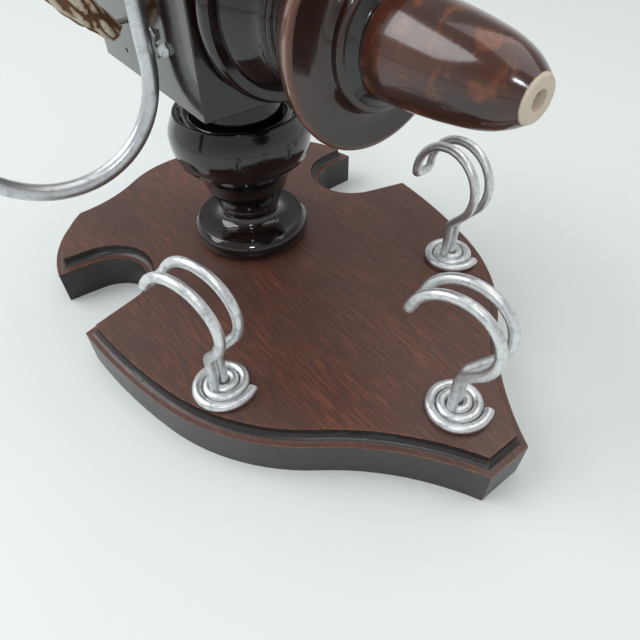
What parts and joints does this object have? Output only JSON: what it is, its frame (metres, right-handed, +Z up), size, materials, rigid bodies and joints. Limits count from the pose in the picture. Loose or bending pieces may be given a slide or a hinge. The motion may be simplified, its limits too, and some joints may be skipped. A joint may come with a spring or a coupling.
{
  "type": "mug tree",
  "caption": "Shield-shaped wooden board with scroll-footed wire hooks, a turned post, and a turned leg laid across it with bowed rod arms and antler pegs.",
  "frame": {"origin": "centre of the board's underside, on the surface that it stands on", "axes": "+Z up; the shield's point and the leg's round nose towards -Y; +X to the object's right seen from its point"},
  "size_m": [0.2202, 0.263, 0.169],
  "materials": {
    "board_wood": "satin mahogany stain",
    "black_wood": "high gloss black-brown lacquer",
    "red_wood": "high gloss red-brown lacquer",
    "bare_wood": "bare",
    "steel": "zinc plated",
    "wire": "satin craft wire",
    "rod": "satin round rod",
    "antler": "ridged natural antler, brown and cream",
    "glue": "clear set adhesive"
  },
  "bodies": {
    "root": {"base_board": "board_wood", "turned_post": "black_wood", "leg_block": "black_wood", "leg_dish": "red_wood", "leg_nose": "red_wood", "post_dowel": "bare_wood", "post_screws": "steel", "hook_right": "wire", "hook_front": "wire", "hook_left": "wire", "side_arm_left": "rod", "side_arm_right": "rod", "antler_left": "antler", "antler_right": "antler", "antler_pin_left": "steel", "antler_pin_right": "steel", "arm_glue_left": "glue", "arm_glue_right": "glue"}
  },
  "joints": []
}
